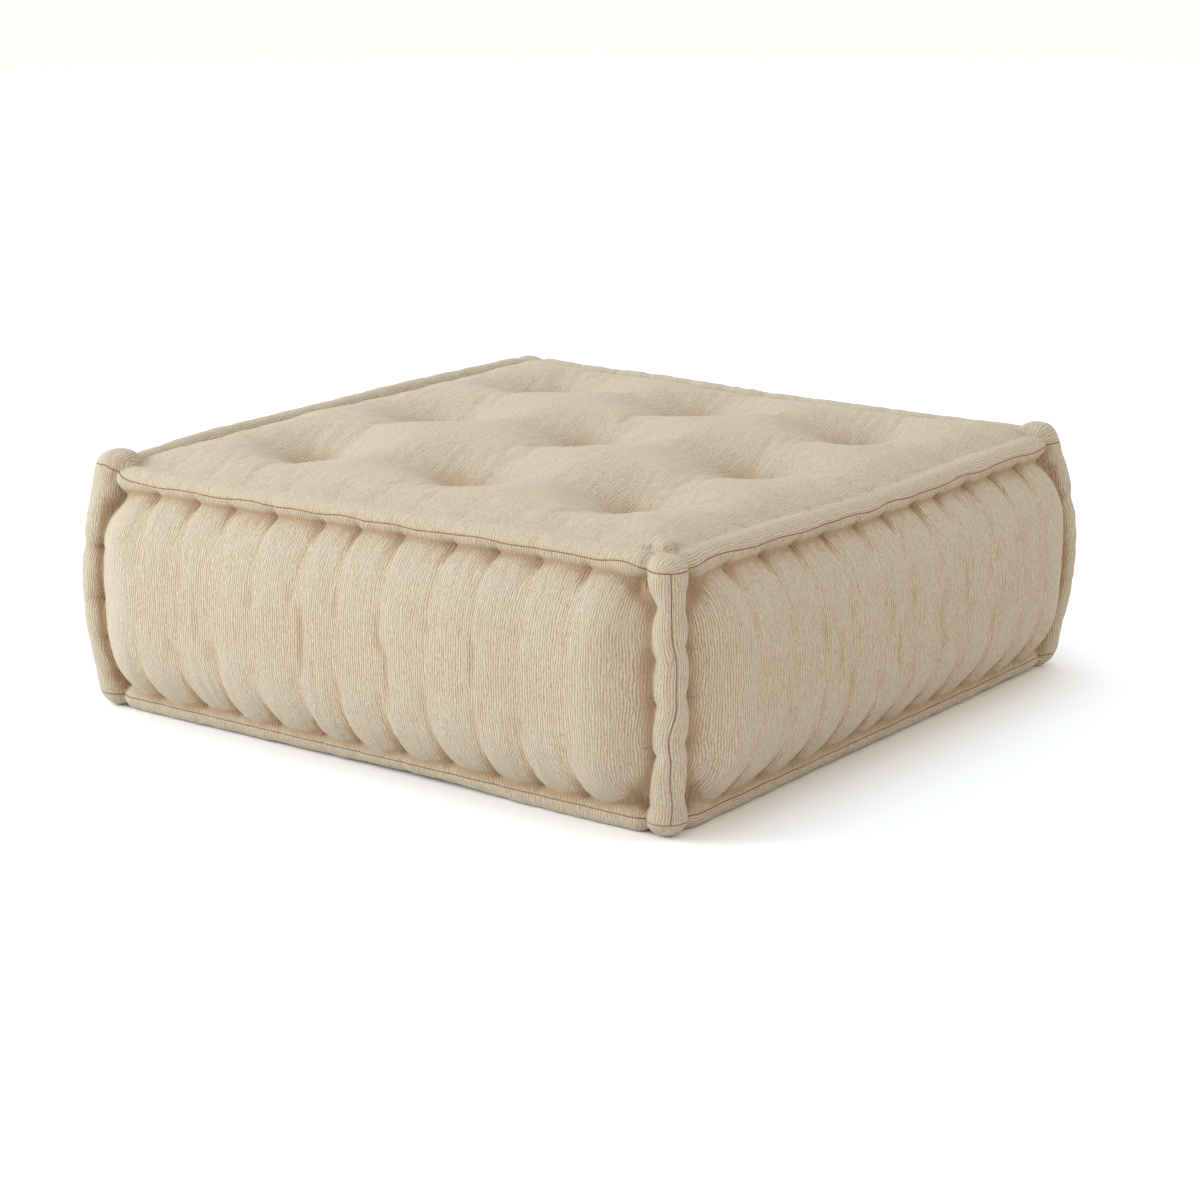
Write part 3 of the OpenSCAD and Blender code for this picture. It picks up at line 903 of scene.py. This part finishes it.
def cover_cloth():
    """Crinkled cotton gauze: uneven ribs along the cloth over a fine plain weave, with painted
    shade in its folds and a painted sheen on their crowns.
    """
    g = Graph("cover_cloth")
    u, v = g.uv()
    seed = g.attribute("panel")

    def cells(width, length, layer, detail=1.0):
        """Noise in cells so many metres wide and long; each layer has its own."""
        where = g.place(g.math("DIVIDE", u, width), g.math("DIVIDE", v, length), g.add(seed, layer))
        return g.noise(where, 1.0, detail, 0.55)

    # ribs at an even spacing that sway from side to side and run together
    sway = g.mul(g.sub(cells(0.012, 0.032, 1.0, 2.0), 0.5), RIB_SWAY)
    turn = g.add(g.math("DIVIDE", u, RIB_PERIOD), sway)
    quiver = g.sub(cells(0.0048, 0.0128, 3.0), 0.5)
    turn = g.math("MULTIPLY_ADD", quiver, 0.5 * RIB_SWAY, turn)
    coarse = g.math("POWER", g.wave(g.mul(turn, 2 * math.pi)), 0.65)
    fine = g.span(cells(0.0013, 0.0050, 4.0), 0.34, 0.66)
    strong = g.span(cells(0.0060, 0.0200, 5.0), 0.35, 0.65, 0.8, 1.0)
    streak = g.span(cells(0.0085, 0.11, 7.0, 2.0), 0.33, 0.67)
    # a few long thin wrinkles, where a slow noise passes its middle; their bump is the cloth's
    # relief, their darker tint is painted shade
    wrinkle = g.math("ABSOLUTE", g.sub(cells(0.0100, 0.075, 11.0, 2.0), 0.5))
    wrinkle = g.mul(g.span(wrinkle, 0.0, 0.022, 1.0, 0.0),
                    g.span(cells(0.030, 0.09, 15.0), 0.50, 0.64))
    weave = g.span(cells(0.0013, 0.0014, 9.0), 0.36, 0.64)
    rib = g.add(g.mul(g.mul(coarse, strong), 0.60), g.mul(fine, 0.26))
    rib = g.add(rib, g.mul(weave, 0.14))
    # the top is stretched flatter than the sides
    rib = g.math("MULTIPLY_ADD", g.sub(0.5, rib), g.attribute("stretch"), rib)
    # the fold attribute is the mask of painted light: painted shade in the creases, painted sheen
    # on the crowns
    fold = g.attribute("hollow")
    # the creases of the folds get painted shade: an orange-brown darkening in place of light
    # blocked and bounced there
    crease = g.math("MAXIMUM", fold, 0.0)
    # the crowns of the folds get a painted sheen: a greyer, paler tone where light catches the
    # raised cloth
    crown = g.math("MAXIMUM", g.mul(fold, -1.0), 0.0)
    cloudy = g.noise(g.place(g.mul(u, 9), g.mul(v, 7), seed))
    cloudy = g.span(cloudy, 0.35, 0.65)

    # the ribs are darker in their grooves and paler on their tops: partly the yarn's own tone,
    # partly painted shade between the ribs
    colour = g.mix(g.span(rib, 0.10, 0.80), (0.250, 0.165, 0.088), (0.528, 0.446, 0.325))
    for where, share, tint in ((streak, 0.03, (0.50, 0.44, 0.335)),
                               # painted sheen on the crowns of the folds
                               (crown, 0.4, (0.462, 0.405, 0.318)),
                               (cloudy, 0.04, (0.40, 0.335, 0.24)),
                               # painted shade along the wrinkles
                               (wrinkle, 0.16, (0.27, 0.18, 0.10)),
                               # painted shade in the creases of the folds
                               (crease, 0.62, (0.33, 0.193, 0.096)),
                               (g.attribute("seam"), 0.85, (0.16, 0.078, 0.032))):
        colour = g.mix(g.mul(where, share), colour, tint)
    height = g.add(g.mul(rib, 0.82), g.mul(weave, 0.18))
    long_folds = g.bump(g.sub(streak, wrinkle), 0.0003, 0.4)
    return g.surface(colour, g.bump(height, 0.0008, 1.0, long_folds), {
        "Roughness": 0.93, "Specular IOR Level": 0.15,
        "Sheen Weight": 0.12, "Sheen Roughness": 0.6,
    })


# --- cover
for name in EDGES:
    grids[name] = press(name, grids[name], 0.0012, 0.012)
grids["top"] = press("top", grids["top"], 0.0013, 0.008)
sink_seams(grids)
cloth = cover_cloth()
for number, name in enumerate(PANELS):
    g = grids[name]
    # how deep each point lies in a fold: the mask for painted shade in the creases and painted
    # sheen on the crowns, softened and weaker on the top
    hollow = hollows(g, normals(name, g))
    marks = {
        "hollow": 0.6 * blurred(hollow, 2) if name == "top" else hollow,
        "seam": np.where(rings(g) == 0, 1.0, 0.0),
        "panel": np.full(g.shape[:2], 13.7 * number),
        "stretch": np.full(g.shape[:2], 0.3 if name == "top" else 0.0),
    }
    obj = grid_mesh("cover_", name, g, cloth_uv(g), marks)
    obj.data.materials.append(cloth)
    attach(obj, "root")
    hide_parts(name + "_panel")


def finished(name, verts, faces, node, fill=None):
    """A finished piece in place of its CAD node: filling if it has a fill, and twine if not."""
    mesh = bpy.data.meshes.new(name)
    points = [tuple(map(float, v)) for v in verts]
    mesh.from_pydata(points, [], [tuple(map(int, f)) for f in faces])
    mesh.update()
    mesh.polygons.foreach_set("use_smooth", np.ones(len(mesh.polygons), bool))
    mesh.materials.append(twine if fill is None else wadding)
    obj = linked(name, mesh)
    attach(obj, "root")
    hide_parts(node)


def tubes(paths, radii, sides):
    """Closed round strands along paths of points; a radius may vary along its strand."""
    verts, faces = [], []
    turn = np.linspace(0, 2 * math.pi, sides, endpoint=False)
    for path, radius in zip(paths, radii):
        path = np.asarray(path, float)
        way = unit(np.gradient(path, axis=0))
        upright = np.abs(way[:, 2]).max() >= 0.9
        across = unit(np.cross(way, [1.0, 0.3, 0.0] if upright else [0.0, 0.0, 1.0]))
        up = np.cross(across, way)
        size = np.broadcast_to(radius, (len(path),))[:, None, None]
        ring = path[:, None] + size * (across[:, None] * np.cos(turn)[:, None]
                                       + up[:, None] * np.sin(turn)[:, None])
        first = len(verts)
        verts.extend(ring.reshape(-1, 3))
        index = first + np.arange(ring.size // 3).reshape(-1, sides)
        faces.extend(quads_between(np.column_stack([index, index[:, :1]]), False).tolist())
        faces.append(tuple(range(first + sides - 1, first - 1, -1)))
        faces.append(tuple(range(first + (len(path) - 1) * sides, first + len(path) * sides)))
    return verts, faces


def twine_fibre():
    """Waxed two-ply twine, with its plies wound across it."""
    g = Graph("twine")
    place = g.new("TexCoord").outputs["Object"]
    x, y, z = g.apart(place)
    slant = g.add(g.add(x, y), g.mul(z, 1.6))
    ply = g.wave(g.mul(slant, 3800))
    fuzz = g.noise(place, 1500)
    colour = g.mix(ply, (0.300, 0.205, 0.120), (0.470, 0.385, 0.270))
    colour = g.mix(g.mul(g.span(fuzz, 0.4, 0.6), 0.3), colour, (0.36, 0.28, 0.18))
    return g.surface(colour, g.bump(g.add(ply, g.mul(fuzz, 0.4)), 0.0002), {"Roughness": 0.8})


def wadding_fibre():
    """Off-white carded filling: matted fibres in soft clumps."""
    g = Graph("wadding")
    place = g.new("TexCoord").outputs["Object"]
    clumps = g.noise(place, 45, 3.0)
    fibres = g.noise(place, 900, 4.0, 0.7)
    colour = g.mix(g.span(clumps, 0.35, 0.65), (0.64, 0.60, 0.52), (0.78, 0.75, 0.68))
    colour = g.mix(g.mul(g.span(fibres, 0.3, 0.7), 0.35), colour, (0.56, 0.51, 0.42))
    return g.surface(colour, g.bump(g.add(g.mul(clumps, 2.0), fibres), 0.0015, 0.6), {
        "Roughness": 1.0, "Specular IOR Level": 0.1, "Sheen Weight": 0.3,
    })


twine, wadding = twine_fibre(), wadding_fibre()

# --- stitches and ties
STITCH_R = 0.0007       # radius of a stitch
TIE_R = 0.0010          # radius of the twine in the ties
CORD_R = 0.0011         # radius of each ply of a tuft's cord
groove_row = len(ANG_UP)        # the first lines of a panel inside its rolls
groove_col = len(ANG_TOP)


def over_groove(points, normal):
    """A stitch over a groove: it dives into the cloth at both ends."""
    arch = np.array([-0.0016, 0.0004, 0.0007, 0.0004, -0.0016])
    return points + normal * arch[:, None]


stitches = {"top": [], "base": [], "corner": []}
for name in EDGES:
    g = grids[name]
    n = normals(name, g)
    rows, cols = g.shape[:2]
    for level in ("top", "base"):
        row = groove_row if level == "base" else rows - 1 - groove_row
        for at in stitch_at[(level, name)]:
            col = groove_col + int(np.argmin(np.abs(inner - at)))
            pick = np.arange(row - 2, row + 3)
            stitches[level].append(over_groove(g[pick, col], n[pick, col]))
    for col in (groove_col, cols - 1 - groove_col):
        for z in RISERS:
            row = groove_row + int(np.argmin(np.abs(g[groove_row:rows - groove_row, col, 2] - z)))
            pick = np.arange(col - 2, col + 3)
            stitches["corner"].append(over_groove(g[row, pick], n[row, pick]))
for level, node in (("top", "top_edge_stitches"), ("base", "base_edge_stitches"),
                    ("corner", "corner_stitches")):
    paths = stitches[level]
    verts, faces = tubes(paths, [STITCH_R] * len(paths), 8)
    finished("stitches_" + level, verts, faces, node)


def nearest(g, x, y):
    """The point of a grid that is nearest above or below a place."""
    k = np.argmin((g[..., 0] - x) ** 2 + (g[..., 1] - y) ** 2)
    return g.reshape(-1, 3)[k]


# each tie is two strands side by side, with a turn of twine round them
for which, up in (("top", 1), ("base", -1)):
    paths = []
    for (tx, ty), (turn, _, _) in zip(TUFTS, tuft_turn):
        seat = nearest(grids[which], tx, ty)
        along = np.array([math.cos(turn), math.sin(turn), 0])
        cross = np.array([-along[1], along[0], 0])
        rise = np.array([0, 0, up])
        height = 0.0022 if up > 0 else 0.0
        for shift in (-0.0011, 0.0011):
            t = np.linspace(-1, 1, 9)
            arch = height * np.sqrt(np.maximum(1 - t ** 2, 0)) - 0.0010 * np.abs(t) ** 3
            strand = seat + along * (0.0052 * t)[:, None] + cross * shift
            paths.append(strand + rise * arch[:, None])
        a = np.linspace(0, 2 * math.pi * 1.25, 22)
        lift = height * 0.6 + 0.0019 * np.sin(a)
        wrap = cross * (0.0030 * np.cos(a))[:, None] + rise * lift[:, None]
        paths.append(seat + wrap + along * np.linspace(-0.0008, 0.0008, len(a))[:, None])
    verts, faces = tubes(paths, [TIE_R] * len(paths), 8)
    finished("ties_" + which, verts, faces, "tuft_%s_knots" % which)
cords = []
for tx, ty in TUFTS:
    high, low = nearest(grids["top"], tx, ty), nearest(grids["base"], tx, ty)
    t = np.linspace(0, 1, 60)
    line = low + (high - low) * t[:, None] + np.array([0, 0, 0.001]) * (1 - 2 * t[:, None])
    for phase in (0, math.pi):
        wind = np.stack([np.cos(t * 90 + phase), np.sin(t * 90 + phase), 0 * t], -1)
        cords.append(line + CORD_R * wind * np.sin(math.pi * t)[:, None] ** 0.3)
verts, faces = tubes(cords, [CORD_R] * len(cords), 6)
finished("cords", verts, faces, "tuft_cords")

# --- filling
PAD_IN = 0.004          # play between the cover and the filling
PAD_THIN = 0.002        # a pad's least thickness
PAD_STEP = 3            # a pad has every third line of its panel
ROLL_FILL = 0.78        # share of a roll's radius that its filling takes up
core_lo, core_hi = (np.array(corner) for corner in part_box("fibre_core"))
mid = (core_lo + core_hi) / 2
half = (core_hi - core_lo) / 2


def kept_inside(p, way, depth):
    """Points moved along their ways until they lie at a depth inside the cushion."""
    for _ in range(12):
        flat = p.reshape(-1, 3)
        flat = 2 * flat - settle(flat)      # where the point was before the cushion settled
        gap = shape(flat[:, 0], flat[:, 1], flat[:, 2]).reshape(p.shape[:-1])
        p = p + way * np.clip(gap + depth, 0, 0.01)[..., None]
    return p


def fluff(p, amount):
    """Small lumps of the filling."""
    return amount * ripple(p[..., 0], p[..., 1], p[..., 2])[..., None]


def pad_lines(first, count):
    """The lines of a pad: every third one of its panel between the rolls, and the last."""
    last = count - 1 - first
    return np.unique(np.append(np.arange(first, last + 1, PAD_STEP), last))


def pad(name):
    """The wadding behind one panel: the panel's own face in front, the core's face behind."""
    g = grids[name]
    rows = pad_lines(groove_row if name in EDGES else groove_col, g.shape[0])
    cols = pad_lines(groove_col, g.shape[1])
    pick = np.ix_(rows, cols)
    n = normals(name, g)[pick]
    outer = g[pick] - n * PAD_IN
    axis = 2 if name in ("top", "base") else (1 if name in ("front", "back") else 0)
    sign = 1 if name in ("top", "back", "right") else -1
    under = np.clip(outer, mid - half, mid + half)
    under[..., axis] = mid[axis] + sign * (half[axis] + 0.001)
    outer = outer - n * np.abs(fluff(outer, 0.0008))
    inward = unit(under - outer)
    # the pad is thinner along its rim, at its corners and at the tufts, where the cover turns in
    r_in = np.minimum(rows - rows[0], rows[-1] - rows)[:, None] * CELL
    c_in = np.minimum(cols - cols[0], cols[-1] - cols)[None, :] * CELL
    rim_in = 0.009 * np.exp(-np.minimum(r_in, c_in) / 0.012)
    rim_in = rim_in + 0.012 * bell(np.hypot(r_in, c_in), 0.055)
    if name in ("top", "base"):
        for tx, ty in TUFTS:
            away = np.hypot(outer[..., 0] - tx, outer[..., 1] - ty)
            rim_in = rim_in + 0.012 * bell(away, 0.022)
    outer = kept_inside(outer, inward, PAD_IN + rim_in)
    thin = (outer - under)[..., axis] * sign < PAD_THIN
    under[..., axis] = np.where(thin, outer[..., axis] - sign * PAD_THIN, under[..., axis])
    r, c = len(rows), len(cols)
    index = np.arange(2 * r * c).reshape(2, r, c)
    faces = []
    for layer in (0, 1):
        faces.extend(quads_between(index[layer], (layer == 1) != (name in FLIPPED)).tolist())
    rim = [(0, k) for k in range(c - 1)] + [(k, c - 1) for k in range(r - 1)]
    rim += [(r - 1, k) for k in range(c - 1, 0, -1)] + [(k, 0) for k in range(r - 1, 0, -1)]
    for at, after in zip(rim, rim[1:] + rim[:1]):
        wall = (index[0][after], index[0][at], index[1][at], index[1][after])
        faces.append(wall[::-1] if name in FLIPPED else wall)
    verts = np.concatenate([outer.reshape(-1, 3), under.reshape(-1, 3)])
    finished("wadding_" + name, verts, faces, name + "_wadding", 0.7)


for name in PANELS:
    pad(name)


def roll_filling(name, path, size, node):
    """The filling of a roll, drawn toward its middle line wherever the cover is drawn in."""
    sides = 16
    verts, faces = tubes([path], [size], sides)
    verts = np.array(verts)
    way = np.repeat(path, sides, axis=0) - verts
    far = np.linalg.norm(way, axis=1, keepdims=True)
    way /= np.maximum(far, 1e-6)
    moved = kept_inside(verts, way, 0.0042)
    step = np.linalg.norm(moved - verts, axis=1, keepdims=True)
    finished(name, verts + way * np.minimum(step, 0.7 * far), faces, node, 0.8)


def blunt(end_in, length):
    """How much of its radius a roll's filling keeps at a distance from its end."""
    return np.clip(end_in / length, 0.2, 1) ** 0.5


for level in ("top", "base"):
    for name in EDGES:
        u = np.linspace(-(HALF - 0.047), HALF - 0.047, 150)
        out = np.full_like(u, HALF - ROLL - 0.0006)
        z = np.full_like(u, TOP - ROLL - 0.002 if level == "top" else ROLL)
        path = settle(lay(name, u, out, z))
        size = ROLL * ROLL_FILL * (0.86 + 0.10 * table(sharp[(level, name)], u))
        size = size * blunt(u[-1] + 0.004 - np.abs(u), 0.012)
        roll_filling("roll_%s_%s" % (level, name), path, size, "%s_%s_roll" % (level, name))
for sx, sy in CORNERS:
    its = EARS[(sx, sy)]
    z = np.linspace(0.008, TOP - 0.008 + its.lift, 70)
    swell = corner_swell(z, its.taper)
    axis_in = corner_axis(z, swell, EAR_IN, its.bow)
    path = settle(np.stack([sx * axis_in, sy * axis_in, z], -1))
    size = (ROLL * (1 - swell) + 0.024 * swell) * ROLL_FILL * 0.92
    size = size * blunt(z - z[0] + 0.003, 0.014) * blunt(z[-1] + 0.003 - z, 0.014)
    corner = "%s_%s" % ("front" if sy < 0 else "back", "right" if sx > 0 else "left")
    roll_filling("roll_corner_" + corner, path, size, corner + "_corner_roll")

# the firm middle: a block with soft edges, cut from layers of pressed filling
block = bmesh.new()
bmesh.ops.create_cube(block, size=2.0)
bmesh.ops.subdivide_edges(block, edges=block.edges[:], cuts=30, use_grid_fill=True)
for v in block.verts:
    p = np.array(v.co)
    big = np.abs(p).max()
    ball = (np.abs(p) ** 14).sum() ** (1 / 14)
    p = p / ball * big
    v.co = mid + p * (half - 0.003)
    wave = fluff(np.array(v.co), 0.0009)[0] + 0.0007 * math.sin(v.co.z * 2 * math.pi / 0.030)
    v.co = Vector(np.array(v.co) - p / max(big, 1e-6) * abs(wave))
core_verts = [tuple(v.co) for v in block.verts]
core_faces = [tuple(v.index for v in f.verts) for f in block.faces]
block.free()
finished("core", core_verts, core_faces, "fibre_core", 0.9)

# --- stage
bpy.ops.mesh.primitive_plane_add(size=30)
floor = bpy.context.object
floor.name = "floor"
white = Graph("floor_white")
white.bsdf.inputs["Base Color"].default_value = (0.96, 0.96, 0.96, 1)
white.bsdf.inputs["Roughness"].default_value = 0.8
floor.data.materials.append(white.mat)

world = bpy.data.worlds.new("studio")
scene.world = world
world.use_nodes = True
sky = world.node_tree.nodes["Background"].inputs
sky["Color"].default_value = (1, 0.96, 0.91, 1)
sky["Strength"].default_value = 1.1


def turned(obj, at, way):
    """Puts a light or the camera at a place, looking along a way."""
    obj.location = at
    obj.rotation_euler = way.to_track_quat("-Z", "Y").to_euler()


def area(name, at, aim, size, power, colour):
    """A square lamp."""
    light = bpy.data.lights.new(name, "AREA")
    light.shape = "SQUARE"
    light.size = size
    light.energy = power
    light.color = colour
    turned(linked(name, light), at, Vector(aim) - Vector(at))


area("key", (-3.6, -3.0, 2.0), (0, 0, 0.15), 2.6, 222, (0.78, 0.90, 1.0))
area("overhead", (-0.3, 0.3, 4.2), (0, 0, 0.2), 3.0, 60, (0.36, 0.66, 1.0))

AZ, EL = math.radians(36.48), math.radians(14.9)
DIST = 3.701            # from the camera to the point it looks at
AIM = Vector((0.1387, -0.1615, 0.17))
SENSOR = 36             # millimetres
FOCAL = 2995 / 1200     # focal length in widths of the sensor
back = Vector((math.sin(AZ) * math.cos(EL), -math.cos(AZ) * math.cos(EL), math.sin(EL)))
cam = bpy.data.cameras.new("camera")
cam.sensor_width = SENSOR
cam.lens = FOCAL * SENSOR
cam_obj = linked("camera", cam)
turned(cam_obj, AIM + back * DIST, -back)
scene.camera = cam_obj
scene.view_settings.view_transform = "Standard"
